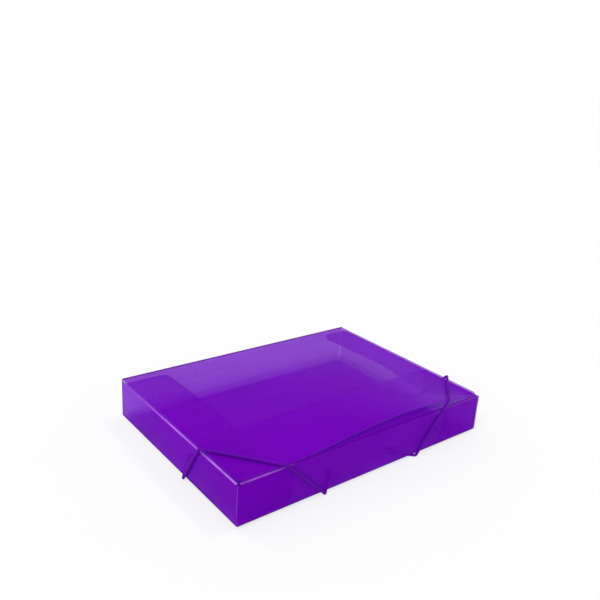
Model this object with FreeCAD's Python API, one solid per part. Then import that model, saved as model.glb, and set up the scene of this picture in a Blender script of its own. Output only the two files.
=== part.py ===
import FreeCAD, Part
import os

# File box lying on its base: +X along the length, +Y from the fore wall to the spine, +Z up.
# The origin is below the middle, level with the lowest cord. All sizes are in millimetres.

# Folded sheet, outside sizes
box_length = 335.0
box_depth = 245.0
box_height = 46.0
sheet = 0.8

# Elastic cords
cord_radius = 1.5
cord_gap = 0.15
cord_bend = 3.4
cord_foot = 96.0
cord_fore_foot = 102.5
left_side_top = 66.0
left_fore_top = 52.0
right_side_top = 51.0
right_fore_top = 58.0
cord_split = 6.0
knot_ring = 2.0
knot_tail = 8.0
tail_radius = 1.3
hole_inset = 18.0
hole_reach = 122.0
hole_clearance = 0.3

# Creases and the layers under the lid
crease_radius = sheet
crease_gap = 0.3
lid_gap = 0.5
flap_gap = 0.4
wall_end_gap = 1.2

# Lid, a little smaller than the tray, with a fore edge that bows up from the left cord to the right corner
lid_inset = 1.5
lid_corner = 8.0
lid_bow = 10.5
bow_cord_gap = 3.5
bow_corner_gap = 2.5
bow_lean = 1.185
bow_fullness = 1.5
bow_steps = 16

# Flaps
fore_flap_width = 84.0
fore_flap_inset = 3.0
left_flap_width = 53.0
right_flap_width = 44.0
flap_rear_inset = 9.5
flap_fore_inset = 4.0
flap_taper = 0.7
flap_corner = 12.0

# Tabs that hold the fore corners
tab_length = 60.0
tab_base_gap = 1.0
tab_top_gap = 1.0
tab_corner = 5.0

# Places derived from the sizes
cord_seat = cord_radius + cord_gap
cord_reach = cord_seat + cord_radius
left_x = -box_length / 2
right_x = box_length / 2
inner_left = left_x + crease_radius
inner_right = right_x - crease_radius
fore_y = (cord_reach - box_depth) / 2
spine_y = fore_y + box_depth
base_low = cord_reach
base_top = base_low + sheet
lid_top = base_low + box_height
lid_low = lid_top - sheet
lid_left = left_x + lid_inset
lid_right = right_x - lid_inset
lid_fore = fore_y + lid_inset
bow_start = left_x + left_fore_top + bow_cord_gap
bow_end = lid_right - lid_corner - bow_corner_gap
bow_span = bow_end - bow_start
fore_flap_top = lid_low - lid_gap
fore_flap_low = fore_flap_top - sheet
side_flap_top = fore_flap_low - flap_gap
side_flap_low = side_flap_top - sheet
fold_z = base_low + crease_radius
fore_fold_y = fore_y + crease_radius
spine_fold_y = spine_y - crease_radius
panel_start = crease_radius + crease_gap
up = FreeCAD.Vector(0, 0, 1)
same = 1e-6


def vec(x, y, z):
    return FreeCAD.Vector(x, y, z)


def block(low, high):
    size = high - low
    return Part.makeBox(size.x, size.y, size.z, low)


def plate(corners, low, thickness):
    points = [vec(x, y, low) for x, y in corners]
    return Part.Face(Part.makePolygon(points + points[:1])).extrude(up * thickness)


def round_upright(solid, corners, radius):
    # Rounds the upright edges that stand over the given plan points.
    chosen = []
    for edge in solid.Edges:
        low, high = edge.Vertexes[0].Point, edge.Vertexes[-1].Point
        upright = abs(low.x - high.x) < same and abs(low.y - high.y) < same
        if upright and any(abs(low.x - x) < same and abs(low.y - y) < same for x, y in corners):
            chosen.append(edge)
    return solid.makeFillet(radius, chosen)


def half_round(axis, along, bulge):
    # A fold that a panel turns about: half a cylinder, flat where it meets the panel that carries it.
    side = along.cross(bulge).normalize() * crease_radius
    arc = Part.Arc(axis - side, axis + bulge * crease_radius, axis + side).toShape()
    flat = Part.makeLine(axis + side, axis - side)
    return Part.Face(Part.Wire([arc, flat])).extrude(along)


def quarter_round(axis, along, first, second):
    # A fold between two fixed panels: a quarter of a cylinder between the edges of both.
    start = axis + first * crease_radius
    end = axis + second * crease_radius
    middle = axis + (first + second).normalize() * crease_radius
    arc = Part.Arc(start, middle, end).toShape()
    outline = Part.Wire([arc, Part.makeLine(end, axis), Part.makeLine(axis, start)])
    return Part.Face(outline).extrude(along)


def bent_path(points, radii):
    # A run of straight lines with an arc of the given radius at each inner point.
    edges = []
    last = points[0]
    for before, corner, after, radius in zip(points, points[1:], points[2:], radii):
        back = (before - corner).normalize()
        on = (after - corner).normalize()
        bisector = (back + on).normalize()
        sine = back.cross(bisector).Length
        reach = radius * back.dot(bisector) / sine
        centre = corner + bisector * (radius / sine)
        start = corner + back * reach
        end = corner + on * reach
        edges.append(Part.makeLine(last, start))
        edges.append(Part.Arc(start, centre - bisector * radius, end).toShape())
        last = end
    edges.append(Part.makeLine(last, points[-1]))
    return Part.Wire(edges)


def cord(points, radii):
    path = bent_path(points, radii)
    ring = Part.Wire(Part.makeCircle(cord_radius, points[0], points[1] - points[0]))
    return path.makePipeShell([ring], True, True)


def at_height(low, high, z):
    return low + (high - low) * ((z - low.z) / (high.z - low.z))


def bow_rise(x):
    # How far the lid's fore edge stands up: an arch that leans to the right and runs out level at both ends.
    share = min(max((x - bow_start) / bow_span, 0.0), 1.0) ** bow_lean
    return lid_bow * (4 * share * (1 - share)) ** bow_fullness


def lid_section(y, bow):
    # Outline of the lid across its length: flat over the corners, with a share of the bow in between.
    def run(z):
        places = [bow_start + bow_span * step / bow_steps for step in range(bow_steps + 1)]
        points = [vec(x, y, z + bow * bow_rise(x)) for x in places]
        arch = Part.BSplineCurve()
        arch.interpolate(Points=points, InitialTangent=vec(1, 0, 0), FinalTangent=vec(1, 0, 0))
        before = Part.makeLine(vec(lid_left, y, z), points[0])
        after = Part.makeLine(points[-1], vec(lid_right, y, z))
        return [before, arch.toShape(), after]

    ends = [Part.makeLine(vec(x, y, lid_low), vec(x, y, lid_top)) for x in (lid_left, lid_right)]
    return Part.Wire(Part.__sortEdges__(run(lid_low) + run(lid_top) + ends))


nodes = {}

# Tray: base, walls and their folds
base = block(vec(inner_left, fore_fold_y, base_low), vec(inner_right, spine_fold_y, base_top))
for side in (-1, 1):
    for inset_x, inset_y in ((hole_inset, hole_reach), (hole_reach, hole_inset)):
        centre = vec(side * (right_x - inset_x), fore_y + inset_y, base_low)
        base = base.cut(Part.makeCylinder(cord_radius + hole_clearance, sheet, centre, up))
nodes["base_panel"] = base

nodes["fore_wall"] = block(vec(left_x, fore_y, fold_z), vec(right_x, fore_y + sheet, fore_flap_low))
run = vec(inner_right - inner_left, 0, 0)
nodes["base_fore_fold"] = quarter_round(vec(inner_left, fore_fold_y, fold_z), run, vec(0, -1, 0), -up)
nodes["base_spine_fold"] = half_round(vec(inner_left, spine_fold_y, fold_z), run, vec(0, 1, 0))

wall_fore = fore_y + sheet + crease_radius
wall_rear = spine_y - sheet - wall_end_gap
tab_low = base_top + tab_base_gap
tab_top = side_flap_low - tab_top_gap
for name, side in (("left", -1), ("right", 1)):
    outer = side * right_x
    fold_x = side * (right_x - crease_radius)
    low_x, high_x = sorted((outer, fold_x))
    nodes[name + "_wall"] = block(vec(low_x, wall_fore, fold_z), vec(high_x, wall_rear, side_flap_low))
    along = vec(0, wall_rear - wall_fore, 0)
    outward = vec(side, 0, 0)
    nodes["base_" + name + "_fold"] = quarter_round(vec(fold_x, wall_fore, fold_z), along, outward, -up)
    tab_end = fold_x - side * tab_length
    low_x, high_x = sorted((fold_x, tab_end))
    tab = block(vec(low_x, fore_y + sheet, tab_low), vec(high_x, fore_y + 2 * sheet, tab_top))
    end_edges = [edge for edge in tab.Edges if abs(edge.CenterOfMass.x - tab_end) < same]
    corners = [edge for edge in end_edges if edge.BoundBox.YLength > sheet / 2]
    tab = tab.makeFillet(tab_corner, corners)
    tall = vec(0, 0, tab_top - tab_low)
    bend = quarter_round(vec(fold_x, wall_fore, tab_low), tall, outward, vec(0, -1, 0))
    nodes[name + "_corner_tab"] = tab.fuse(bend).removeSplitter()

# Spine and lid
spine_foot = vec(inner_left, spine_fold_y, fold_z + panel_start)
nodes["spine_panel"] = block(spine_foot, vec(inner_right, spine_y, lid_low))
nodes["spine_lid_fold"] = half_round(vec(inner_left, spine_fold_y, lid_low), run, up)
lid_rear = spine_fold_y - panel_start
lid = Part.makeLoft([lid_section(lid_rear, 0), lid_section(lid_fore, 1)], True, True)
nodes["lid_panel"] = round_upright(lid, [(lid_left, lid_fore), (lid_right, lid_fore)], lid_corner)

# Flaps and their folds
flap_left = left_x + fore_flap_inset
flap_right = right_x - fore_flap_inset
flap_tip = fore_y + fore_flap_width
tip_corners = [(flap_right, flap_tip), (flap_left, flap_tip)]
flap_root = fore_fold_y + panel_start
fore_flap = plate([(flap_left, flap_root), (flap_right, flap_root)] + tip_corners, fore_flap_low, sheet)
nodes["fore_flap"] = round_upright(fore_flap, tip_corners, flap_corner)
along = vec(flap_right - flap_left, 0, 0)
nodes["fore_flap_fold"] = half_round(vec(flap_left, fore_fold_y, fore_flap_low), along, up)

flap_rear = spine_y - flap_rear_inset
flap_fore = fore_y + flap_fore_inset
for name, side, width in (("left", -1, left_flap_width), ("right", 1, right_flap_width)):
    root_x = side * (right_x - crease_radius - panel_start)
    tip_x = side * (right_x - width)
    tips = [(tip_x, flap_fore + flap_taper * width), (tip_x, flap_rear)]
    flap = plate([(root_x, flap_fore)] + tips + [(root_x, flap_rear)], side_flap_low, sheet)
    nodes[name + "_flap"] = round_upright(flap, tips, flap_corner)
    axis = vec(side * (right_x - crease_radius), flap_fore, side_flap_low)
    nodes[name + "_flap_fold"] = half_round(axis, vec(0, flap_rear - flap_fore, 0), up)

# Elastic cords: a loop over each fore corner, and two ends that run under the base to stop knots
cord_low = base_low - cord_seat
cord_high = lid_top + cord_seat
cord_fore = fore_y - cord_seat
knot_z = base_top + cord_seat
for name, side, side_top, fore_top in (
    ("left", -1, left_side_top, left_fore_top),
    ("right", 1, right_side_top, right_fore_top),
):
    outer = side * (right_x + cord_seat)
    side_foot = vec(outer, fore_y + cord_foot, cord_low)
    side_turn = vec(outer, fore_y + side_top, cord_high)
    fore_turn = vec(side * (right_x - fore_top), cord_fore, cord_high)
    fore_turn.z += bow_rise(fore_turn.x - cord_reach)
    fore_foot = vec(side * (right_x - cord_fore_foot), cord_fore, cord_low)
    side_split = at_height(side_foot, side_turn, base_low + cord_split)
    fore_split = at_height(fore_foot, fore_turn, base_low + cord_split)
    over_corner = [side_split, side_turn, fore_turn, fore_split]
    nodes[name + "_elastic_loop"] = cord(over_corner, [cord_bend, cord_bend])
    ends = (
        ("side", side_split, side_foot, hole_inset, hole_reach),
        ("fore", fore_split, fore_foot, hole_reach, hole_inset),
    )
    for end, split, foot, inset_x, inset_y in ends:
        hole = vec(side * (right_x - inset_x), fore_y + inset_y, cord_low)
        knot = vec(hole.x, hole.y, knot_z)
        strand = cord([split, foot, hole, knot], [cord_bend, cord_seat])
        ring = Part.makeTorus(knot_ring, cord_radius, knot, up)
        tail_way = vec(-side, 1, 0).normalize()
        tail = Part.makeCylinder(tail_radius, knot_tail, knot, tail_way)
        nodes[name + "_elastic_" + end + "_end"] = strand.fuse([ring, tail])

os.makedirs("parts", exist_ok=True)
for name, shape in nodes.items():
    solid = shape if shape.ShapeType == "Solid" else shape.Solids[0]
    solid.exportStep("parts/" + name + ".step")
    print(name, "valid" if solid.isValid() else "INVALID", len(shape.Solids), round(solid.Volume, 2))
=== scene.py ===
import math

import bmesh
import bpy
import numpy as np
from bpy.props import FloatProperty, FloatVectorProperty, IntProperty, PointerProperty
from mathutils import Matrix, Vector


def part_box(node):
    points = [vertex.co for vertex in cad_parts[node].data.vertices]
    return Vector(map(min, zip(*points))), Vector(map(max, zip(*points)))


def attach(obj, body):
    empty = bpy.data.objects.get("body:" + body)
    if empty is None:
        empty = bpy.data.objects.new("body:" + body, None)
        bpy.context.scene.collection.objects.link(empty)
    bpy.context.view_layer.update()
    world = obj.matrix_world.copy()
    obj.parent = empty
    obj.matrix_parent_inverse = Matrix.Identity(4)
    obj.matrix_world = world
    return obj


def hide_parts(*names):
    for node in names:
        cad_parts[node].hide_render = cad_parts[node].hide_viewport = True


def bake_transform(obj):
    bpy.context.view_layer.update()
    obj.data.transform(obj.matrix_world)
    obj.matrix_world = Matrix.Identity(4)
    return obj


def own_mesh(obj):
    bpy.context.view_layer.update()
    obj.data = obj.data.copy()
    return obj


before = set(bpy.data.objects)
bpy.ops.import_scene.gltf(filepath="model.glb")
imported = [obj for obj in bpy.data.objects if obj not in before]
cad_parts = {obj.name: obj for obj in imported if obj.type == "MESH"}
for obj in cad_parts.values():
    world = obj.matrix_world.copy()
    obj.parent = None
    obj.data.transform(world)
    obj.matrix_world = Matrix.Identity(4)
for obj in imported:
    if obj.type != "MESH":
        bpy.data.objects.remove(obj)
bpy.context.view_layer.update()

bl_info = {
    "name": "File Box",
    "version": (1, 0, 0),
    "blender": (4, 5, 0),
    "location": "View3D > Sidebar > File Box",
    "description": "Dresses the frame of a flat file box: see-through sheet, paled creases and braided cords",
    "category": "Add Mesh",
}

AXIS_X = Vector((1, 0, 0))
AXIS_Y = Vector((0, 1, 0))
AXIS_Z = Vector((0, 0, 1))

# Tolerances, and the angles over which an edge stays sharp
NEAR, MERGE = 1e-6, 1e-7
PANEL_ANGLE, FLAP_ANGLE = math.radians(20), math.radians(30)
BEND_ANGLE, CORD_ANGLE = math.radians(40), math.radians(70)

# Spacing of the lines that let a panel curve
PANEL_STEP, FLAP_STEP, FORE_STEP = 0.012, 0.010, 0.008
LID_STEP, SWELL_STEP = 0.006, 0.001

# Directions to the lamps, and how wide each looks in degrees
KEY_WAY, KEY_SPREAD = (-0.62, -0.26, 0.74), 28
SIDE_WAY, SIDE_SPREAD = (-0.20, 0.75, 0.63), 14
FORE_WAY, FORE_SPREAD = (0.48, -0.10, 0.87), 5

# Most see-through faces that a ray of light passes
MOST_FACES = 40

# A score line's half width over its depth, and the reach over which the ripple dies out at a crease
SCORE_SLOPE, RIPPLE_REACH = 4, 0.03

# Power of a side flap's spring: more than 1 bends up late
SPRING_POWER = 1.5

# Knots: size, place beside the hole, opening and tail, and where on the cord's end they draw it tight
KNOT_SIZE, KNOT_LIFT, KNOT_ASIDE = 0.00095, 0.0023, 0.0030
KNOT_GAP, KNOT_STEPS = 0.6, 18
KNOT_TAIL = ((-0.0018, -0.0046, 0.0004), (-0.0030, -0.0075, -0.0010), (-0.0038, -0.0110, -0.0011))
KNOT_START, KNOT_TIGHT, KNOT_FADE = 0.42, 0.8, 0.08

# Lengths that the bends take up under the base and at a hole, and the cord's rise out of it
FOOT_BEND, HOLE_BEND, HOLE_RISE = 0.0035, 0.002, 0.001


def extent(node):
    low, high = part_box(node)
    return high - low


# Settings

class SheetSettings(bpy.types.PropertyGroup):
    """The plastic sheet: its corners, score lines, bow and colours"""

    thickness: FloatProperty(
        name="Thickness", description="Thickness of the plastic sheet",
        default=extent("base_panel").z, unit="LENGTH", precision=5)
    lid_corner: FloatProperty(
        name="Lid corner", description="Radius of the lid's two fore corners",
        default=0.008, unit="LENGTH")
    flap_corner: FloatProperty(
        name="Flap corner", description="Radius of the corners at the flaps' free edges",
        default=0.012, unit="LENGTH")
    flap_taper: FloatProperty(
        name="Flap taper",
        description="How far a side flap's fore edge runs back, as a share of its width",
        default=0.7)
    tab_corner: FloatProperty(
        name="Tab corner", description="Radius of the corner tabs' free corners",
        default=0.005, unit="LENGTH")
    bow_start: FloatProperty(
        name="Bow start", description="Distance of the lid's arch from the box's left side",
        default=0.0555, unit="LENGTH")
    bow_end: FloatProperty(
        name="Bow end", description="Distance of the lid's arch from the box's right side",
        default=0.012, unit="LENGTH")
    bow_lean: FloatProperty(
        name="Bow lean", description="Power that moves the arch's top: more than 1 moves it to the right",
        default=1.185)
    bow_fullness: FloatProperty(
        name="Bow fullness",
        description="Power that shapes the arch: more runs out softly",
        default=1.5)
    flap_swell: FloatProperty(
        name="Flap swell",
        description="How far the fore flap springs up, as a share of the lid's bow",
        default=0.95)
    swell_reach: FloatProperty(
        name="Swell reach", description="Distance from the fore flap's crease over which it springs up",
        default=0.010, unit="LENGTH")
    spring_gap: FloatProperty(
        name="Spring gap", description="Space left under the lid where a side flap springs up to it",
        default=0.0003, unit="LENGTH")
    spring_fore: FloatProperty(
        name="Spring start", description="Length behind the fore flap over which the side flaps spring up",
        default=0.030, unit="LENGTH")
    spring_rear: FloatProperty(
        name="Spring end",
        description="Length over which the side flaps lie down, up to half of it from the lid's rear edge",
        default=0.060, unit="LENGTH")
    score_inset: FloatProperty(
        name="Score inset", description="Distance of the pressed score line from the edge at a crease",
        default=0.0022, unit="LENGTH")
    score_depth: FloatProperty(
        name="Score depth", description="Depth of the pressed score line",
        default=0.00014, unit="LENGTH", precision=5)
    edge_round: FloatProperty(
        name="Edge rounding", description="Width of the rounding at the die-cut edges",
        default=0.00012, unit="LENGTH", precision=5)
    ripple: FloatProperty(
        name="Ripple", description="Height of the slight waves in the free panels",
        default=0.00008, unit="LENGTH", precision=5)
    colour: FloatVectorProperty(
        name="Sheet colour", description="Colour of the light that the sheet scatters back",
        default=(0.36, 0.001, 0.77), subtype="COLOR")
    tint: FloatVectorProperty(
        name="See-through tint", description="Tint of what is seen through one face of the sheet",
        default=(0.80, 0.70, 0.94), subtype="COLOR")
    body: FloatProperty(
        name="Body", description="Share of a face that scatters light, with the rest see-through",
        default=0.30, min=0, max=1, subtype="FACTOR")
    # Partly a real weld, partly painted shade: the denser corner tabs darken the shadowed floor seen through
    # the box's ends
    weld_and_shade_body: FloatProperty(
        name="Weld body", description="Share of a face that scatters light on the welded corner tabs",
        default=0.62, min=0, max=1, subtype="FACTOR")
    edge_colour: FloatVectorProperty(
        name="Cut edge colour", description="Colour of the die-cut edges, where the sheet is seen endways",
        default=(0.10, 0.004, 0.33), subtype="COLOR")
    gloss_tint: FloatVectorProperty(
        name="Gloss tint", description="Tint of what the sheet mirrors when it is looked at squarely",
        default=(0.60, 0.15, 1.0), subtype="COLOR")
    bend_colour: FloatVectorProperty(
        name="Bend colour", description="Colour of the bends, where the sheet is seen endways",
        default=(0.10, 0.004, 0.24), subtype="COLOR")
    # Painted highlight: the pale colour mixed into the creases stands mostly for their highlights, and only
    # in part for real paling from folding
    crease_highlight_colour: FloatVectorProperty(
        name="Crease colour", description="Colour of a crease where folding has paled it",
        default=(0.66, 0.20, 1.0), subtype="COLOR")
    # Painted highlight: length over which the fore crease's painted highlight fades to plain
    highlight_fade: FloatProperty(
        name="Wear fade", description="Length over which the fore crease goes from pale to plain",
        default=0.012, unit="LENGTH")


class CordSettings(bpy.types.PropertyGroup):
    """The elastic cords: their thickness, braid, route and colours"""

    radius: FloatProperty(
        name="Radius", description="Radius over the braided cover",
        default=0.00162, unit="LENGTH", precision=5)
    seat: FloatProperty(
        name="Seat", description="Distance of a cord's middle line from the sheet that it lies on",
        default=0.00165, unit="LENGTH", precision=5)
    foot: FloatProperty(
        name="Side foot",
        description="Place of a cord's turn under a side wall, from the fore wall",
        default=0.096, unit="LENGTH")
    fore_foot: FloatProperty(
        name="Fore foot",
        description="Place of a cord's turn under the fore wall, from the side wall",
        default=0.1025, unit="LENGTH")
    left_side_top: FloatProperty(
        name="Left cord, side top",
        description="Place where the left cord turns onto the lid at the left wall",
        default=0.066, unit="LENGTH")
    left_fore_top: FloatProperty(
        name="Left cord, fore top", description="Place where the left cord turns down the fore wall",
        default=0.052, unit="LENGTH")
    right_side_top: FloatProperty(
        name="Right cord, side top",
        description="Place where the right cord turns onto the lid at the right wall",
        default=0.051, unit="LENGTH")
    right_fore_top: FloatProperty(
        name="Right cord, fore top", description="Place where the right cord turns down the fore wall",
        default=0.058, unit="LENGTH")
    split: FloatProperty(
        name="Split", description="Height over the base's underside where the loop meets a cord's end",
        default=0.006, unit="LENGTH")
    hole_inset: FloatProperty(
        name="Hole inset", description="Distance of a punched hole from the nearest wall",
        default=0.018, unit="LENGTH")
    hole_reach: FloatProperty(
        name="Hole reach", description="Distance of a punched hole from the other wall of its corner",
        default=0.122, unit="LENGTH")
    hole_radius: FloatProperty(
        name="Hole radius", description="Radius of the punched holes in the base",
        default=0.0018, unit="LENGTH")
    bend: FloatProperty(
        name="Bend", description="Length of cord on each side of an edge that the bend takes up",
        default=0.005, unit="LENGTH")
    threads: IntProperty(
        name="Threads", description="Braided threads that run each way round the cord", default=8, min=4)
    pitch: FloatProperty(
        name="Pitch", description="Length along the cord of one thread crossing",
        default=0.0013, unit="LENGTH")
    relief: FloatProperty(
        name="Relief", description="How far the threads stand out, as a share of the radius", default=0.09)
    colour: FloatVectorProperty(
        name="Cord colour", description="Colour of the raised threads",
        default=(0.15, 0.0006, 0.42), subtype="COLOR")
    # Painted shade: the darker colour put between the threads
    crevice_shade_colour: FloatVectorProperty(
        name="Cord deep colour", description="Colour between the threads",
        default=(0.085, 0.0003, 0.25), subtype="COLOR")


class StageSettings(bpy.types.PropertyGroup):
    """The floor, the light and the camera"""

    floor_colour: FloatVectorProperty(
        name="Floor colour", description="Colour of the pale floor",
        default=(0.97, 0.97, 0.97), subtype="COLOR")
    floor_size: FloatProperty(
        name="Floor size", description="Length of the floor's sides", default=60.0, unit="LENGTH")
    floor_glow: FloatProperty(
        name="Floor glow", description="Share of plain white in the floor as the camera sees it",
        default=0.7, min=0, max=1, subtype="FACTOR")
    sky: FloatProperty(
        name="Sky", description="Strength of the even light from all round", default=0.64, min=0)
    backdrop_low: FloatProperty(
        name="Backdrop low", description="Sine of the height up to which the backdrop is white", default=0.25)
    backdrop_high: FloatProperty(
        name="Backdrop high", description="Sine of the height where the backdrop ends", default=0.55)
    ceiling: FloatProperty(
        name="Ceiling", description="Brightness of the room over the backdrop", default=0.04, min=0)
    key: FloatProperty(
        name="Key", description="Strength of the soft main lamp", default=1.0, min=0)
    glint: FloatProperty(
        name="Glint", description="Strength of each small lamp that lights the creases",
        default=0.30, min=0)
    eye: FloatVectorProperty(
        name="Camera", description="Place of the camera",
        default=(-0.45697, -0.54687, 0.39968), subtype="XYZ", unit="LENGTH")
    right_way: FloatVectorProperty(
        name="Camera right", description="Direction to the right of the picture",
        default=(0.78815, -0.61244, 0.06107), subtype="DIRECTION")
    up_way: FloatVectorProperty(
        name="Camera up", description="Direction to the top of the picture",
        default=(0.15428, 0.29264, 0.94369), subtype="DIRECTION")
    lens: FloatProperty(
        name="Lens", description="Focal length in millimetres on a sensor 36 mm wide", default=40.969, min=1)


def sheet_settings():
    return bpy.context.scene.file_box_sheet


def cord_settings():
    return bpy.context.scene.file_box_cord


def stage_settings():
    return bpy.context.scene.file_box_stage


# Materials

def new_material(name):
    material = bpy.data.materials.new(name)
    material.use_nodes = True
    tree = material.node_tree
    tree.nodes.clear()
    return material, tree


def add_node(tree, kind, inputs=None, **settings):
    node = tree.nodes.new(kind)
    for key, value in settings.items():
        setattr(node, key, value)
    for key, value in (inputs or {}).items():
        if isinstance(value, bpy.types.NodeSocket):
            tree.links.new(value, node.inputs[key])
        else:
            node.inputs[key].default_value = value
    return node


def object_place(tree):
    return add_node(tree, "ShaderNodeTexCoord").outputs["Object"]


def opaque(colour, strength=1.0):
    return tuple(min(1.0, channel * strength) for channel in colour) + (1.0,)


def noise(tree, place, scale, detail=2.0, roughness=0.5):
    node = add_node(tree, "ShaderNodeTexNoise", {
        "Vector": place, "Scale": scale, "Detail": detail, "Roughness": roughness})
    return node.outputs["Fac"]


def stretched(tree, place, scale):
    return add_node(tree, "ShaderNodeMapping", {"Vector": place, "Scale": scale}).outputs["Vector"]


def between(tree, value, low, high, start=0.3, end=0.7):
    node = add_node(tree, "ShaderNodeMapRange", {
        "Value": value, "From Min": start, "From Max": end, "To Min": low, "To Max": high})
    return node.outputs["Result"]


def colour_mix(tree, share, first, second):
    node = add_node(tree, "ShaderNodeMix", data_type="RGBA")
    tree.links.new(share, node.inputs["Factor"])
    for key, value in (("A", first), ("B", second)):
        socket = [s for s in node.inputs if s.name == key and s.type == "RGBA"][0]
        if isinstance(value, bpy.types.NodeSocket):
            tree.links.new(value, socket)
        else:
            socket.default_value = value
    return [s for s in node.outputs if s.type == "RGBA"][0]


def combine(tree, operation, first, second):
    return add_node(tree, "ShaderNodeMath", {0: first, 1: second}, operation=operation).outputs[0]


def bump(tree, height, distance, strength):
    inputs = {"Height": height, "Distance": distance, "Strength": strength}
    return add_node(tree, "ShaderNodeBump", inputs).outputs["Normal"]


def see_through(tree, surface, body, tint):
    clear = add_node(tree, "ShaderNodeBsdfTransparent", {"Color": tint})
    mix = add_node(tree, "ShaderNodeMixShader", {"Fac": body})
    tree.links.new(clear.outputs["BSDF"], mix.inputs[1])
    tree.links.new(surface, mix.inputs[2])
    add_node(tree, "ShaderNodeOutputMaterial", {"Surface": mix.outputs["Shader"]})


def sheet_material(name, solid):
    """Glossy see-through sheet with faint drawn streaks and clouding"""
    s = sheet_settings()
    material, tree = new_material(name)
    place = object_place(tree)
    clouds = noise(tree, place, 16.0, 3.0)
    streaks = noise(tree, stretched(tree, place, (6.0, 90.0, 90.0)), 1.0, 3.0)
    waves = noise(tree, stretched(tree, place, (8.0, 22.0, 22.0)), 1.0, 1.0)
    colour = colour_mix(tree, between(tree, clouds, 0.0, 1.0), opaque(s.colour, 0.94), opaque(s.colour, 1.05))
    normal = bump(tree, waves, 0.004, 0.12)
    surface = add_node(tree, "ShaderNodeBsdfPrincipled", {
        "Base Color": colour,
        "Roughness": between(tree, streaks, 0.20, 0.32),
        "Specular IOR Level": 0.04,
        "Specular Tint": opaque(s.gloss_tint),
        "Normal": normal,
    })
    body = between(tree, streaks, solid - 0.015, solid + 0.015)
    see_through(tree, surface.outputs["BSDF"], body, opaque(s.tint))
    return material


def edge_material():
    """Die-cut edge, darker because the sheet is seen endways, with fine marks of the knife"""
    s = sheet_settings()
    material, tree = new_material("cut_edge")
    place = object_place(tree)
    marks = noise(tree, stretched(tree, place, (900.0, 900.0, 60.0)), 1.0, 2.0)
    dull, bright = opaque(s.edge_colour, 0.8), opaque(s.edge_colour, 1.3)
    colour = colour_mix(tree, between(tree, marks, 0.0, 1.0), dull, bright)
    surface = add_node(tree, "ShaderNodeBsdfPrincipled", {
        "Base Color": colour,
        "Roughness": between(tree, marks, 0.35, 0.55),
        "Specular IOR Level": 0.2,
        "Normal": bump(tree, marks, 0.00005, 0.3),
    })
    see_through(tree, surface.outputs["BSDF"], 0.75, opaque(s.tint))
    return material


def crease_material(name, colour, pale, axis=1, run=(0.0, 1.0), solid=0.8, gloss=0.06):
    """Bent sheet, paled with a painted highlight in uneven patches, by a share that changes along one axis of
    the frame
    """
    s = sheet_settings()
    material, tree = new_material(name)
    place = object_place(tree)
    patches = noise(tree, place, 34.0, 4.0, 0.6)
    fine = noise(tree, place, 700.0, 2.0)
    along = add_node(tree, "ShaderNodeSeparateXYZ", {"Vector": place}).outputs[axis]
    share = between(tree, along, pale[0], pale[1], run[0], run[1])
    uneven = between(tree, patches, 0.6, 1.3, 0.35, 0.65)
    share = add_node(tree, "ShaderNodeMath", {0: share, 1: uneven}, operation="MULTIPLY", use_clamp=True)
    # Mixes in the painted highlight colour by the share
    mixed = colour_mix(tree, share.outputs[0], colour, opaque(s.crease_highlight_colour))
    surface = add_node(tree, "ShaderNodeBsdfPrincipled", {
        "Base Color": mixed,
        "Roughness": between(tree, fine, 0.2, 0.4),
        "Specular IOR Level": gloss,
        "Specular Tint": opaque(s.gloss_tint),
        "Normal": bump(tree, fine, 0.00005, 0.2),
    })
    body = between(tree, patches, solid - 0.08, solid + 0.08, 0.35, 0.65)
    see_through(tree, surface.outputs["BSDF"], body, opaque(s.tint))
    return material


def cord_material():
    """Matt braided cover: raised threads, with painted shade between them, and fine fibres on top"""
    c = cord_settings()
    material, tree = new_material("braided_cord")
    ridge = add_node(tree, "ShaderNodeAttribute", attribute_name="ridge").outputs["Fac"]
    place = object_place(tree)
    fibres = noise(tree, place, 5200.0, 2.0)
    rubbed = noise(tree, place, 60.0, 2.0)
    raised = colour_mix(tree, between(tree, rubbed, 0.0, 1.0), opaque(c.colour, 0.85), opaque(c.colour, 1.3))
    # Painted shade between the threads, from the ridge height
    colour = colour_mix(tree, between(tree, ridge, 0.0, 1.0, 0.15, 0.7), opaque(c.crevice_shade_colour), raised)
    surface = add_node(tree, "ShaderNodeBsdfPrincipled", {
        "Base Color": colour,
        "Roughness": between(tree, fibres, 0.62, 0.85),
        "Specular IOR Level": 0.08,
        "Normal": bump(tree, fibres, 0.00004, 0.4),
    })
    add_node(tree, "ShaderNodeOutputMaterial", {"Surface": surface.outputs["BSDF"]})
    return material


def material_named(name, maker, *values, **options):
    return bpy.data.materials.get(name) or maker(*values, **options)


def sheet_materials(name="violet_sheet", solid=None):
    solid = solid or sheet_settings().body
    return [material_named(name, sheet_material, name, solid), material_named("cut_edge", edge_material)]


def bend_materials():
    dark = opaque(sheet_settings().bend_colour)
    return [material_named("plain_bend", crease_material, "plain_bend", dark, (0.0, 0.0), gloss=0.02)]


def corner_materials():
    """The upright corners, paled palest at the top, partly by folding and partly with a painted highlight in
    place of the floor's reflection
    """
    low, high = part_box("left_corner_tab")
    plain = opaque(sheet_settings().colour)
    run = (low.z, high.z)
    # Painted highlight with some real paling: the pale share runs from 0.1 at the foot to 0.75 at the top
    return [material_named("corner_bend", crease_material, "corner_bend", plain, (0.1, 0.75), 2, run, 0.65)]


def left_crease_materials():
    """The left flap's crease, with a painted highlight that is palest at the fore corner"""
    low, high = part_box("left_flap_fold")
    plain = opaque(sheet_settings().colour)
    run = (low.y, high.y)
    # Painted highlight: pale share 1.0 at the fore end, 0.2 at the rear
    return [material_named("left_crease", crease_material, "left_crease", plain, (1.0, 0.2), 1, run, 0.85)]


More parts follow.
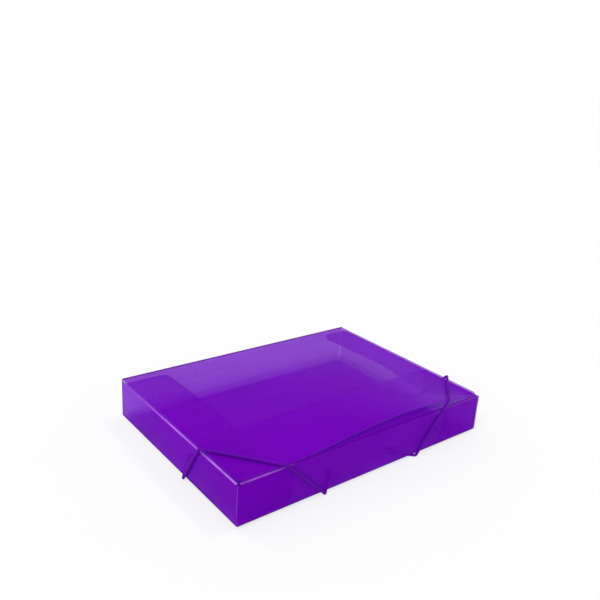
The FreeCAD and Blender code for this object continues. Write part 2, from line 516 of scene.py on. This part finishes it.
def fore_crease_materials():
    """The fore flap's crease, with a painted highlight from the left corner to the left cord; elsewhere plain
    and darker than the sheet
    """
    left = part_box("fore_wall")[0].x
    end = left + cord_settings().left_fore_top
    plain = opaque(sheet_settings().colour, 0.6)
    run = (end, end + sheet_settings().highlight_fade)
    # Painted highlight: half pale at the left, fading out past the left cord
    return [material_named("fore_crease", crease_material, "fore_crease", plain, (0.5, 0.0), 0, run, 0.65)]


# Meshes

def new_object(name, mesh, materials):
    for material in materials:
        mesh.materials.append(material)
    piece = bpy.data.objects.new(name, mesh)
    bpy.context.scene.collection.objects.link(piece)
    return piece


def piece_from(bm, name, materials, smooth_angle):
    """Turns the built mesh into a piece, smooth except where its faces meet at more than the angle"""
    bmesh.ops.remove_doubles(bm, verts=bm.verts, dist=MERGE)
    bmesh.ops.recalc_face_normals(bm, faces=bm.faces)
    mesh = bpy.data.meshes.new(name)
    bm.to_mesh(mesh)
    bm.free()
    mesh.shade_smooth()
    mesh.set_sharp_from_angle(angle=smooth_angle)
    return new_object(name, mesh, materials)


def finish_piece(piece, body, slot, *nodes):
    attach(piece, body)
    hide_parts(*nodes)


def rounded(corners, radii, steps=7):
    """Points round a panel, with an arc in place of each corner that has a radius"""
    points = []
    count = len(corners)
    for i, radius in enumerate(radii):
        corner = Vector(corners[i])
        if not radius:
            points.append(corner)
            continue
        back = (Vector(corners[i - 1]) - corner).normalized()
        on = (Vector(corners[(i + 1) % count]) - corner).normalized()
        half = back.angle(on) / 2
        centre = corner + (back + on).normalized() * (radius / math.sin(half))
        start = corner + back * (radius / math.tan(half)) - centre
        sweep = math.pi - 2 * half
        turn = math.copysign(sweep, back.x * on.y - back.y * on.x)
        for step in range(steps + 1):
            points.append(centre + Matrix.Rotation(-turn * step / steps, 2) @ start)
    return points


def oblong(width, height):
    return [(0, 0), (width, 0), (width, height), (0, height)]


def circle(centre, radius, steps=24):
    angles = [2 * math.pi * i / steps for i in range(steps)]
    return [Vector(centre) + Vector((math.cos(a), math.sin(a))) * radius for a in angles]


def facing(node, side):
    """A node's outer face: a matrix from (along, up, out) to the shared frame, and the face's sizes"""
    low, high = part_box(node)
    origins = {
        "top": (low.x, low.y, high.z), "fore": (low.x, low.y, low.z), "spine": (high.x, high.y, low.z),
        "left": (low.x, high.y, low.z), "right": (high.x, low.y, low.z),
    }
    ways = {
        "top": (AXIS_X, AXIS_Y), "fore": (AXIS_X, AXIS_Z), "spine": (-AXIS_X, AXIS_Z),
        "left": (-AXIS_Y, AXIS_Z), "right": (AXIS_Y, AXIS_Z),
    }
    along, up = ways[side]
    out = along.cross(up)
    place = Matrix.Translation(origins[side]) @ Matrix((along, up, out)).transposed().to_4x4()
    size = high - low
    return place, abs(size.dot(along)), abs(size.dot(up))


def divisions(length, spacing):
    count = max(1, round(length / spacing))
    return [length * i / count for i in range(1, count)]


def score_cuts(place):
    """Lines that a pressed groove needs: its two shoulders and its bottom"""
    half = sheet_settings().score_depth * SCORE_SLOPE
    return [place - half, place, place + half]


def score(distance):
    """How far the surface sinks at a distance from a score line"""
    s = sheet_settings()
    half = s.score_depth * SCORE_SLOPE
    return -s.score_depth * max(0.0, 1 - abs(distance) / half)


def on_line(edge, axis, line):
    return all(abs(v.co[axis] - line) < NEAR for v in edge.verts)


def add_sheet(bm, outline, place, along_cuts=(), up_cuts=(), rise=None, holes=(), folds=()):
    """Adds a panel of sheet: the outline's surface, cut into strips, shaped by rise and given its thickness.
    The sides in folds, each an axis and a place on it, run on into a crease and show no die-cut edge"""
    s = sheet_settings()
    flat = bmesh.new()
    edges = []
    for loop in (outline, *holes):
        corners = [flat.verts.new((p[0], p[1], 0)) for p in loop]
        edges += [flat.edges.new(pair) for pair in zip(corners, corners[1:] + corners[:1])]
    if holes:
        bmesh.ops.triangle_fill(flat, use_beauty=True, use_dissolve=False, edges=edges)
    else:
        flat.faces.new(corners)
    for way, cuts in ((AXIS_X, along_cuts), (AXIS_Y, up_cuts)):
        for cut in cuts:
            geometry = flat.verts[:] + flat.edges[:] + flat.faces[:]
            bmesh.ops.bisect_plane(flat, geom=geometry, plane_co=way * cut, plane_no=way, dist=NEAR)
    for face in flat.faces:
        face.normal_update()
        if face.normal.z < 0:
            face.normal_flip()
    outer, inner = {}, {}
    for v in flat.verts:
        lift = rise(v.co.x, v.co.y) if rise else 0.0
        outer[v] = bm.verts.new(place @ Vector((v.co.x, v.co.y, lift)))
        inner[v] = bm.verts.new(place @ Vector((v.co.x, v.co.y, lift - s.thickness)))
    for face in flat.faces:
        bm.faces.new([outer[v] for v in face.verts])
        bm.faces.new([inner[v] for v in reversed(face.verts)])
    for edge in flat.edges:
        if len(edge.link_faces) == 1:
            first = [loop.vert for loop in edge.link_faces[0].loops if loop.edge == edge][0]
            second = edge.other_vert(first)
            rim = bm.faces.new((outer[second], outer[first], inner[first], inner[second]))
            folded = any(on_line(edge, axis, line) for axis, line in folds)
            rim.material_index = 0 if folded else 1
    flat.free()


def round_edges(bm, width):
    """Rounds the die-cut edges, between the panel's faces and its rim"""
    rims = [e for e in bm.edges if {f.material_index for f in e.link_faces} == {0, 1}]
    bmesh.ops.bevel(bm, geom=rims, offset=width, segments=2, profile=0.5, affect="EDGES", clamp_overlap=True)


def add_round(bm, axis, along, out_from, out_to, radius, reach, steps=8, spacing=0.008):
    """Adds bent sheet round an axis, from one outer side to the other, and a flat end of length reach"""
    section = []
    for step in range(steps + 1):
        turn = math.pi / 2 * step / steps
        section.append((out_from * math.cos(turn) + out_to * math.sin(turn)) * radius)
    beyond = -out_from
    if reach:
        section.append(out_to * radius + beyond * reach)
        section.append(beyond * reach)
    section.append(Vector((0, 0, 0)))
    stations = [0.0, *divisions(along.length, spacing), along.length]
    way = along.normalized()
    rings = [[bm.verts.new(axis + way * station + point) for point in section] for station in stations]
    for first, second in zip(rings, rings[1:]):
        for i in range(len(section)):
            j = (i + 1) % len(section)
            bm.faces.new((first[i], first[j], second[j], second[i]))
    bm.faces.new(list(reversed(rings[0])))
    bm.faces.new(rings[-1])


def ripple(along, up, free):
    """Slight waves in a free panel, which die out at the edges that a crease holds"""
    height = sheet_settings().ripple
    wide = math.sin(along * 31 + 0.7) * math.cos(up * 23 + 1.9)
    slanting = 0.6 * math.sin(along * 17 - up * 41 + 2.3)
    return height * (wide + slanting) * min(1.0, free / RIPPLE_REACH)


# Tray

def make_base():
    s, c = sheet_settings(), cord_settings()
    place, width, depth = facing("base_panel", "top")
    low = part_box("base_panel")[0]
    tray_low, tray_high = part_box("fore_wall")
    holes = []
    for side, wall in ((1, tray_low.x), (-1, tray_high.x)):
        for inset, reach in ((c.hole_inset, c.hole_reach), (c.hole_reach, c.hole_inset)):
            centre = (wall + side * inset - low.x, tray_low.y + reach - low.y)
            holes.append(circle(centre, c.hole_radius))
    bm = bmesh.new()
    folds = ((0, 0.0), (0, width), (1, 0.0), (1, depth))
    add_sheet(bm, oblong(width, depth), place, holes=holes, folds=folds)
    round_edges(bm, s.edge_round)
    piece = piece_from(bm, "base_sheet", sheet_materials(), PANEL_ANGLE)
    finish_piece(piece, "tray", "sheet", "base_panel")


def make_wall(node, side):
    s = sheet_settings()
    place, width, height = facing(node, side)
    lines = (s.score_inset, height - s.score_inset)
    cuts = [cut for line in lines for cut in score_cuts(line)]

    def rise(along, up):
        return min(score(up - line) for line in lines)

    bm = bmesh.new()
    outline = oblong(width, height)
    add_sheet(bm, outline, place, up_cuts=cuts, rise=rise, folds=((1, 0.0), (1, height)))
    piece = piece_from(bm, node + "_sheet", sheet_materials(), PANEL_ANGLE)
    finish_piece(piece, "tray", "sheet", node)


def make_tab(node, side):
    """The fore end of a side wall, bent round the corner and lying behind the fore wall"""
    s = sheet_settings()
    low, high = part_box(node)
    t = s.thickness
    bend_x = low.x + t if side < 0 else high.x - t
    bend = Vector((bend_x, high.y, low.z))
    width, height = high.x - low.x - t, high.z - low.z
    start = bend_x if side < 0 else low.x
    upright = Matrix((AXIS_X, AXIS_Z, -AXIS_Y)).transposed().to_4x4()
    place = Matrix.Translation((start, low.y, low.z)) @ upright
    free = (s.tab_corner, 0) if side > 0 else (0, s.tab_corner)
    radii = (free[0], free[1], free[1], free[0])
    bm = bmesh.new()
    add_sheet(bm, rounded(oblong(width, height), radii), place)
    panel_faces = len(bm.faces)
    add_round(bm, bend, AXIS_Z * height, AXIS_X * side, -AXIS_Y, t, 0.0)
    bm.faces.ensure_lookup_table()
    for face in bm.faces[panel_faces:]:
        face.material_index = 2
    # Denser sheet on the corner tabs: partly the weld, partly painted shade
    materials = sheet_materials("welded_sheet", s.weld_and_shade_body) + corner_materials()
    piece = piece_from(bm, node + "_sheet", materials, FLAP_ANGLE)
    finish_piece(piece, "tray", "sheet", node)


# Creases

def make_fixed_fold(node, out):
    """The bend between the base and a wall that never moves"""
    low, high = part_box(node)
    side = Vector(out)
    along = AXIS_X if side.x == 0 else AXIS_Y
    length = (high - low).dot(along)
    axis = Vector((low.x if out[0] >= 0 else high.x, high.y if out[1] < 0 else low.y, high.z))
    bm = bmesh.new()
    add_round(bm, axis, along * length, -AXIS_Z, side, sheet_settings().thickness, 0.0)
    piece = piece_from(bm, node + "_bend", bend_materials(), BEND_ANGLE)
    finish_piece(piece, "tray", "fold", node)


def make_hinge(node, axis, along, out_fixed, out_moving, reach, materials):
    """A crease that a panel turns about: bent sheet round the hinge's axis"""
    t = sheet_settings().thickness
    bm = bmesh.new()
    add_round(bm, axis, along, out_fixed, out_moving, t, reach)
    piece = piece_from(bm, node + "_web", materials, BEND_ANGLE)
    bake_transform(piece)
    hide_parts(node)


# Spine, lid and flaps

def make_spine():
    s = sheet_settings()
    place, width, height = facing("spine_panel", "spine")
    lines = (s.score_inset, height - s.score_inset)
    cuts = [cut for line in lines for cut in score_cuts(line)] + divisions(height, PANEL_STEP)

    def rise(along, up):
        sunk = min(score(up - line) for line in lines)
        return sunk - abs(ripple(along, up, min(up, height - up)))

    bm = bmesh.new()
    outline = oblong(width, height)
    add_sheet(bm, outline, place, divisions(width, PANEL_STEP), cuts, rise, folds=((1, 0.0), (1, height)))
    piece = piece_from(bm, "spine_sheet", sheet_materials(), PANEL_ANGLE)
    finish_piece(piece, "spine", "sheet", "spine_panel")


def lid_top():
    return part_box("spine_lid_fold")[1].z


def bow_rise(x):
    """Rise of the lid's fore edge: an arch that leans to the right and runs out level at both ends"""
    s = sheet_settings()
    left, right = (corner.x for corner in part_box("fore_wall"))
    start, end = left + s.bow_start, right - s.bow_end
    share = min(max((x - start) / (end - start), 0.0), 1.0) ** s.bow_lean
    return (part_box("lid_panel")[1].z - lid_top()) * (4 * share * (1 - share)) ** s.bow_fullness


def soft_step(share):
    """0 below 0, 1 above 1 and a smooth rise between"""
    share = min(max(share, 0.0), 1.0)
    return share * share * (3 - 2 * share)


def make_lid():
    s = sheet_settings()
    low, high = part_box("lid_panel")
    width, depth = high.x - low.x, high.y - low.y
    place = Matrix.Translation((low.x, low.y, lid_top()))
    line = depth - s.score_inset

    def rise(along, up):
        arch = bow_rise(low.x + along) * (1 - up / depth)
        return arch + score(up - line) + ripple(along, up, depth - up)

    outline = rounded(oblong(width, depth), (s.lid_corner, s.lid_corner, 0, 0))
    bm = bmesh.new()
    cuts = divisions(depth, FLAP_STEP) + score_cuts(line)
    add_sheet(bm, outline, place, divisions(width, LID_STEP), cuts, rise, folds=((1, depth),))
    piece = piece_from(bm, "lid_sheet", sheet_materials(), FLAP_ANGLE)
    finish_piece(piece, "lid", "sheet", "lid_panel")


def make_fore_flap():
    s = sheet_settings()
    place, width, depth = facing("fore_flap", "top")
    outline = rounded(oblong(width, depth), (0, 0, s.flap_corner, s.flap_corner))
    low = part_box("fore_flap")[0]

    def rise(along, up):
        spring = math.sin(math.pi / 2 * min(1.0, up / s.swell_reach)) * (1 - up / depth)
        return s.flap_swell * bow_rise(low.x + along) * spring + ripple(along, up, up) / 2

    bm = bmesh.new()
    cuts = divisions(s.swell_reach, SWELL_STEP) + divisions(depth, s.swell_reach)
    add_sheet(bm, outline, place, divisions(width, FORE_STEP), cuts, rise, folds=((1, 0.0),))
    piece = piece_from(bm, "fore_flap_sheet", sheet_materials(), FLAP_ANGLE)
    finish_piece(piece, "fore_flap", "sheet", "fore_flap")


def make_side_flap(node, side):
    s = sheet_settings()
    place, width, depth = facing(node, "top")
    low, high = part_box(node)
    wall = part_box("fore_wall")
    full = high.x - wall[0].x if side < 0 else wall[1].x - low.x
    taper = s.flap_taper * full
    root, tip = (0, width) if side < 0 else (width, 0)
    corners = [(root, 0), (tip, taper), (tip, depth), (root, depth)]
    radii = [0, s.flap_corner, s.flap_corner, 0]
    line = s.score_inset if side < 0 else width - s.score_inset
    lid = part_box("lid_panel")
    lid_depth = lid[1].y - lid[0].y
    fore_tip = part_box("fore_flap")[1].y

    def room(x, y):
        """Space between the flap lying flat and the lid's underside"""
        bowed = bow_rise(x) * (1 - (y - lid[0].y) / lid_depth)
        return lid_top() - s.thickness - high.z - s.spring_gap + bowed

    def rise(along, up):
        free = along if side < 0 else width - along
        x, y = low.x + along, low.y + up
        rear = (lid[1].y - s.spring_rear / 2 - y) / s.spring_rear
        held = soft_step((y - fore_tip) / s.spring_fore) * soft_step(rear)
        spring = max(0.0, room(x, y)) * held * (free / width) ** SPRING_POWER
        return spring + score(along - line) + ripple(along, up, free) / 2

    bm = bmesh.new()
    cuts = divisions(width, FLAP_STEP) + score_cuts(line)
    up_cuts = divisions(depth, PANEL_STEP)
    add_sheet(bm, rounded(corners, radii), place, cuts, up_cuts, rise, folds=((0, root),))
    piece = piece_from(bm, node + "_sheet", sheet_materials(), FLAP_ANGLE)
    finish_piece(piece, node, "sheet", node)


# Elastic cords

def smooth_line(points):
    """Points on one smooth spline that has the route's points as its controls"""
    curve = bpy.data.curves.new("route", "CURVE")
    curve.dimensions = "3D"
    curve.resolution_u = 24
    spline = curve.splines.new("NURBS")
    spline.points.add(len(points) - 1)
    for control, point in zip(spline.points, points):
        control.co = (*point, 1.0)
    spline.order_u = 3
    spline.use_endpoint_u = True
    holder = bpy.data.objects.new("route", curve)
    mesh = bpy.data.meshes.new_from_object(holder)
    line = np.array([v.co for v in mesh.vertices], float)
    bpy.data.meshes.remove(mesh)
    bpy.data.objects.remove(holder)
    bpy.data.curves.remove(curve)
    return line


def even_steps(line, step):
    lengths = np.concatenate([[0.0], np.cumsum(np.linalg.norm(np.diff(line, axis=0), axis=1))])
    count = max(2, int(round(lengths[-1] / step)) + 1)
    at = np.linspace(0.0, lengths[-1], count)
    return np.stack([np.interp(at, lengths, line[:, i]) for i in range(3)], axis=1), at


def cross_ways(line):
    """Two directions across the line at each of its points, carried along without twisting"""
    along = np.gradient(line, axis=0)
    along /= np.linalg.norm(along, axis=1)[:, None]
    first = np.cross(along[0], (0.3, 0.5, 0.8))
    first /= np.linalg.norm(first)
    ways = []
    for tangent in along:
        first = first - tangent * np.dot(first, tangent)
        first /= np.linalg.norm(first)
        ways.append((first, np.cross(tangent, first)))
    return np.array(ways)


def braid_ridge(angle, at):
    """Height of the braided cover, from 0 between the threads to 1 on top of one"""
    c = cord_settings()
    round_share = c.threads * angle / (2 * math.pi)
    one, other = round_share + at / (2 * c.pitch), round_share - at / (2 * c.pitch)
    over = (np.floor(one) + np.floor(other)) % 2 == 0
    one, other = np.sin(math.pi * (one % 1)), np.sin(math.pi * (other % 1))
    return np.where(over, one * (0.4 + 0.6 * other), other * (0.4 + 0.6 * one))


def braided(name, route, thinner_from=None, thin=1.0):
    """A braided cord along a route, drawn tighter from a share of its length on"""
    c = cord_settings()
    sides = 4 * c.threads
    line, at = even_steps(smooth_line(route), c.pitch / 3)
    ways = cross_ways(line)
    angle = np.linspace(0, 2 * math.pi, sides, endpoint=False)
    ridge = braid_ridge(angle[None, :], at[:, None])
    radius = c.radius * (1 - c.relief * (1 - ridge))
    if thinner_from is not None:
        share = np.clip((at / at[-1] - thinner_from) / KNOT_FADE, 0, 1)
        radius = radius * (1 - (1 - thin) * share)[:, None]
        tip = np.sqrt(np.clip(1 - (1 - np.clip((at[-1] - at) / c.radius, 0, 1)) ** 2, 0.05, 1))
        radius = radius * tip[:, None]
    first, second = ways[:, 0, None, :], ways[:, 1, None, :]
    around = first * np.cos(angle)[None, :, None] + second * np.sin(angle)[None, :, None]
    points = (line[:, None, :] + around * radius[:, :, None]).reshape(-1, 3)
    count = len(line)
    ring = np.arange(sides)
    turn = (ring + 1) % sides
    faces = []
    for i in range(count - 1):
        low, high = i * sides, (i + 1) * sides
        faces += zip(low + ring, low + turn, high + turn, high + ring)
    faces = [tuple(int(v) for v in face) for face in faces]
    faces.append(tuple(range(sides - 1, -1, -1)))
    faces.append(tuple(range((count - 1) * sides, count * sides)))
    mesh = bpy.data.meshes.new(name)
    mesh.from_pydata(points.tolist(), [], faces)
    mesh.attributes.new("ridge", "FLOAT", "POINT").data.foreach_set("value", ridge.ravel().astype(np.float32))
    mesh.shade_smooth()
    mesh.set_sharp_from_angle(angle=CORD_ANGLE)
    return new_object(name, mesh, [material_named("braided_cord", cord_material)])


def turned(before, corner, after, reach):
    """Controls for a bend: the corner, and a point near it on each run"""
    back, on = (before - corner).normalized(), (after - corner).normalized()
    return [corner + back * reach, corner, corner + on * reach]


def at_height(low, high, z):
    return low + (high - low) * ((z - low.z) / (high.z - low.z))


def knot_route(hole, base_top, way):
    """An overhand knot that sits on the base beside its hole, and the tail that leaves it"""
    centre = Vector((hole.x, hole.y, base_top + KNOT_LIFT)) + way * KNOT_ASIDE
    side = AXIS_Z.cross(way)
    points = []
    for i in range(KNOT_STEPS + 1):
        t = math.pi + KNOT_GAP + (2 * math.pi - 2 * KNOT_GAP) * i / KNOT_STEPS
        x = math.sin(t) + 2 * math.sin(2 * t)
        y = math.cos(t) - 2 * math.cos(2 * t)
        points.append(centre + (side * x + way * y + AXIS_Z * math.sin(3 * t)) * KNOT_SIZE)
    return points + [centre + side * x + way * y + AXIS_Z * z for x, y, z in KNOT_TAIL]


def make_cord(name, side, side_top, fore_top):
    c = cord_settings()
    tray_low, tray_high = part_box("fore_wall")
    wall = tray_high.x
    fore = tray_low.y
    base_low, base_top = (corner.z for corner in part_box("base_panel"))
    low, high = base_low - c.seat, lid_top() + c.seat
    side_foot = Vector((side * (wall + c.seat), fore + c.foot, low))
    side_turn = Vector((side * (wall + c.seat), fore + side_top, high))
    fore_turn = Vector((side * (wall - fore_top), fore - c.seat, high))
    fore_turn.z += bow_rise(fore_turn.x - c.seat - c.radius)
    fore_foot = Vector((side * (wall - c.fore_foot), fore - c.seat, low))
    side_split = at_height(side_foot, side_turn, base_low + c.split)
    fore_split = at_height(fore_foot, fore_turn, base_low + c.split)
    route = [side_split, *turned(side_split, side_turn, fore_turn, c.bend)]
    route += [*turned(side_turn, fore_turn, fore_split, c.bend), fore_split]
    loop = braided(name + "_cord_loop", route)
    finish_piece(loop, "tray", "cord", name + "_elastic_loop")
    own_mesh(loop)
    ends = (
        ("side", side_split, side_foot, c.hole_inset, c.hole_reach),
        ("fore", fore_split, fore_foot, c.hole_reach, c.hole_inset),
    )
    for end, split, foot, inset, reach in ends:
        hole = Vector((side * (wall - inset), fore + reach, low))
        above = Vector((hole.x, hole.y, base_top + HOLE_RISE))
        way = Vector((-side, 1, 0)).normalized()
        route = [split, *turned(split, foot, hole, FOOT_BEND), *turned(foot, hole, above, HOLE_BEND), above]
        route += knot_route(hole, base_top, way)
        piece = braided(name + "_cord_" + end + "_end", route, KNOT_START, KNOT_TIGHT)
        finish_piece(piece, "tray", "cord", name + "_elastic_" + end + "_end")


# Stage

def make_floor():
    s = stage_settings()
    half = s.floor_size / 2
    mesh = bpy.data.meshes.new("floor")
    corners = [(-half, -half, 0), (half, -half, 0), (half, half, 0), (-half, half, 0)]
    mesh.from_pydata(corners, [], [(0, 1, 2, 3)])
    material, tree = new_material("pale_floor")
    surface = add_node(tree, "ShaderNodeBsdfDiffuse", {"Color": opaque(s.floor_colour)})
    white = add_node(tree, "ShaderNodeEmission", {"Color": (1, 1, 1, 1), "Strength": 1.0})
    path = add_node(tree, "ShaderNodeLightPath")
    direct = combine(tree, "LESS_THAN", path.outputs["Transparent Depth"], 0.5)
    seen = combine(tree, "MULTIPLY", path.outputs["Is Camera Ray"], direct)
    mix = add_node(tree, "ShaderNodeMixShader", {"Fac": combine(tree, "MULTIPLY", seen, s.floor_glow)})
    tree.links.new(surface.outputs["BSDF"], mix.inputs[1])
    tree.links.new(white.outputs["Emission"], mix.inputs[2])
    add_node(tree, "ShaderNodeOutputMaterial", {"Surface": mix.outputs["Shader"]})
    new_object("floor", mesh, [material])


def make_sky():
    """Even white light; the camera, and what is mirrored or seen through, meets plain white"""
    s = stage_settings()
    world = bpy.data.worlds.new("studio")
    bpy.context.scene.world = world
    world.use_nodes = True
    tree = world.node_tree
    tree.nodes.clear()
    path = add_node(tree, "ShaderNodeLightPath")
    seen = path.outputs["Is Camera Ray"]
    for name in ("Is Glossy Ray", "Is Transmission Ray"):
        seen = combine(tree, "MAXIMUM", seen, path.outputs[name])
    way = add_node(tree, "ShaderNodeTexCoord").outputs["Generated"]
    height = add_node(tree, "ShaderNodeSeparateXYZ", {"Vector": way}).outputs["Z"]
    backdrop = add_node(tree, "ShaderNodeMapRange", {
        "Value": height, "From Min": s.backdrop_low, "From Max": s.backdrop_high,
        "To Min": 1.0, "To Max": s.ceiling}, interpolation_type="SMOOTHSTEP")
    strength = add_node(tree, "ShaderNodeMapRange", {
        "Value": seen, "To Min": s.sky, "To Max": backdrop.outputs["Result"]})
    background = add_node(tree, "ShaderNodeBackground", {
        "Color": (1, 1, 1, 1), "Strength": strength.outputs["Result"]})
    add_node(tree, "ShaderNodeOutputWorld", {"Surface": background.outputs["Background"]})


def make_lamp(name, toward, strength, spread):
    lamp = bpy.data.lights.new(name, "SUN")
    lamp.energy = strength
    lamp.angle = math.radians(spread)
    holder = bpy.data.objects.new(name, lamp)
    holder.rotation_mode = "QUATERNION"
    holder.rotation_quaternion = Vector(toward).to_track_quat("Z", "Y")
    bpy.context.scene.collection.objects.link(holder)


def make_camera():
    s = stage_settings()
    right, up = Vector(s.right_way).normalized(), Vector(s.up_way)
    back = right.cross(up).normalized()
    up = back.cross(right)
    data = bpy.data.cameras.new("camera")
    data.lens = s.lens
    data.sensor_width = 36.0
    data.sensor_fit = "HORIZONTAL"
    data.clip_start, data.clip_end = 0.01, 200.0
    camera = bpy.data.objects.new("camera", data)
    camera.matrix_world = Matrix.Translation(s.eye) @ Matrix((right, up, back)).transposed().to_4x4()
    bpy.context.scene.collection.objects.link(camera)
    bpy.context.scene.camera = camera


# Operators

class FILEBOX_OT_stage(bpy.types.Operator):
    """Make the floor, the light and the camera"""
    bl_idname = "filebox.stage"
    bl_label = "Stage"

    def execute(self, context):
        s = stage_settings()
        context.scene.view_settings.view_transform = "Standard"
        context.scene.cycles.transparent_max_bounces = MOST_FACES
        make_floor()
        make_sky()
        make_lamp("key", KEY_WAY, s.key, KEY_SPREAD)
        make_lamp("glint_side", SIDE_WAY, s.glint, SIDE_SPREAD)
        make_lamp("glint_fore", FORE_WAY, s.glint, FORE_SPREAD)
        make_camera()
        return {"FINISHED"}


class FILEBOX_OT_cords(bpy.types.Operator):
    """Make the two braided elastic cords, with their loops, ends and knots"""
    bl_idname = "filebox.cords"
    bl_label = "Elastic cords"

    def execute(self, context):
        c = cord_settings()
        make_cord("left", -1, c.left_side_top, c.left_fore_top)
        make_cord("right", 1, c.right_side_top, c.right_fore_top)
        return {"FINISHED"}


class FILEBOX_OT_tray(bpy.types.Operator):
    """Make the base, the three walls and the corner tabs"""
    bl_idname = "filebox.tray"
    bl_label = "Tray"

    def execute(self, context):
        make_base()
        make_wall("fore_wall", "fore")
        make_wall("left_wall", "left")
        make_wall("right_wall", "right")
        make_tab("left_corner_tab", -1)
        make_tab("right_corner_tab", 1)
        return {"FINISHED"}


class FILEBOX_OT_creases(bpy.types.Operator):
    """Make the bends at the base and the creases that the moving panels turn about"""
    bl_idname = "filebox.creases"
    bl_label = "Creases"

    def execute(self, context):
        make_fixed_fold("base_fore_fold", (0, -1, 0))
        make_fixed_fold("base_left_fold", (-1, 0, 0))
        make_fixed_fold("base_right_fold", (1, 0, 0))
        low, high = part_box("base_spine_fold")
        run = AXIS_X * (high.x - low.x)
        axis = Vector((low.x, low.y, (low.z + high.z) / 2))
        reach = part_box("spine_panel")[0].z - axis.z
        make_hinge("base_spine_fold", axis, run, -AXIS_Z, AXIS_Y, reach, sheet_materials())
        low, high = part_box("spine_lid_fold")
        axis = Vector((low.x, (low.y + high.y) / 2, low.z))
        reach = axis.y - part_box("lid_panel")[1].y
        make_hinge("spine_lid_fold", axis, run, AXIS_Y, AXIS_Z, reach, bend_materials())
        low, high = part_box("fore_flap_fold")
        axis = Vector((low.x, (low.y + high.y) / 2, low.z))
        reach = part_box("fore_flap")[0].y - axis.y
        along = AXIS_X * (high.x - low.x)
        materials = fore_crease_materials()
        make_hinge("fore_flap_fold", axis, along, -AXIS_Y, AXIS_Z, reach, materials)
        for name, side in (("left_flap", -1), ("right_flap", 1)):
            low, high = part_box(name + "_fold")
            axis = Vector(((low.x + high.x) / 2, low.y, low.z))
            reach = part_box(name)[0].x - axis.x if side < 0 else axis.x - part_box(name)[1].x
            along = AXIS_Y * (high.y - low.y)
            materials = left_crease_materials() if side < 0 else bend_materials()
            make_hinge(name + "_fold", axis, along, AXIS_X * side, AXIS_Z, reach, materials)
        return {"FINISHED"}


class FILEBOX_OT_lid(bpy.types.Operator):
    """Make the spine and the bowed lid"""
    bl_idname = "filebox.lid"
    bl_label = "Spine and lid"

    def execute(self, context):
        make_spine()
        make_lid()
        return {"FINISHED"}


class FILEBOX_OT_flaps(bpy.types.Operator):
    """Make the three flaps under the lid"""
    bl_idname = "filebox.flaps"
    bl_label = "Flaps"

    def execute(self, context):
        make_fore_flap()
        make_side_flap("left_flap", -1)
        make_side_flap("right_flap", 1)
        return {"FINISHED"}


class FILEBOX_PT_pieces(bpy.types.Panel):
    """Lists the pieces of the file box and their settings"""
    bl_idname = "FILEBOX_PT_pieces"
    bl_label = "File Box"
    bl_space_type = "VIEW_3D"
    bl_region_type = "UI"
    bl_category = "File Box"

    def draw(self, context):
        column = self.layout.column()
        for operator in OPERATORS:
            column.operator(operator.bl_idname)
        for settings in (sheet_settings(), cord_settings(), stage_settings()):
            box = self.layout.box()
            for name in settings.__annotations__:
                box.prop(settings, name)


OPERATORS = (
    FILEBOX_OT_stage,
    FILEBOX_OT_cords,
    FILEBOX_OT_tray,
    FILEBOX_OT_creases,
    FILEBOX_OT_lid,
    FILEBOX_OT_flaps,
)
SETTINGS = (SheetSettings, CordSettings, StageSettings)


def register():
    for kind in (*SETTINGS, *OPERATORS, FILEBOX_PT_pieces):
        bpy.utils.register_class(kind)
    bpy.types.Scene.file_box_sheet = PointerProperty(type=SheetSettings)
    bpy.types.Scene.file_box_cord = PointerProperty(type=CordSettings)
    bpy.types.Scene.file_box_stage = PointerProperty(type=StageSettings)


def unregister():
    del bpy.types.Scene.file_box_sheet
    del bpy.types.Scene.file_box_cord
    del bpy.types.Scene.file_box_stage
    for kind in (FILEBOX_PT_pieces, *reversed(OPERATORS), *reversed(SETTINGS)):
        bpy.utils.unregister_class(kind)


def main():
    register()
    bpy.ops.filebox.stage()
    bpy.ops.filebox.cords()
    bpy.ops.filebox.tray()
    bpy.ops.filebox.creases()
    bpy.ops.filebox.lid()
    bpy.ops.filebox.flaps()


if __name__ == "__main__":
    main()
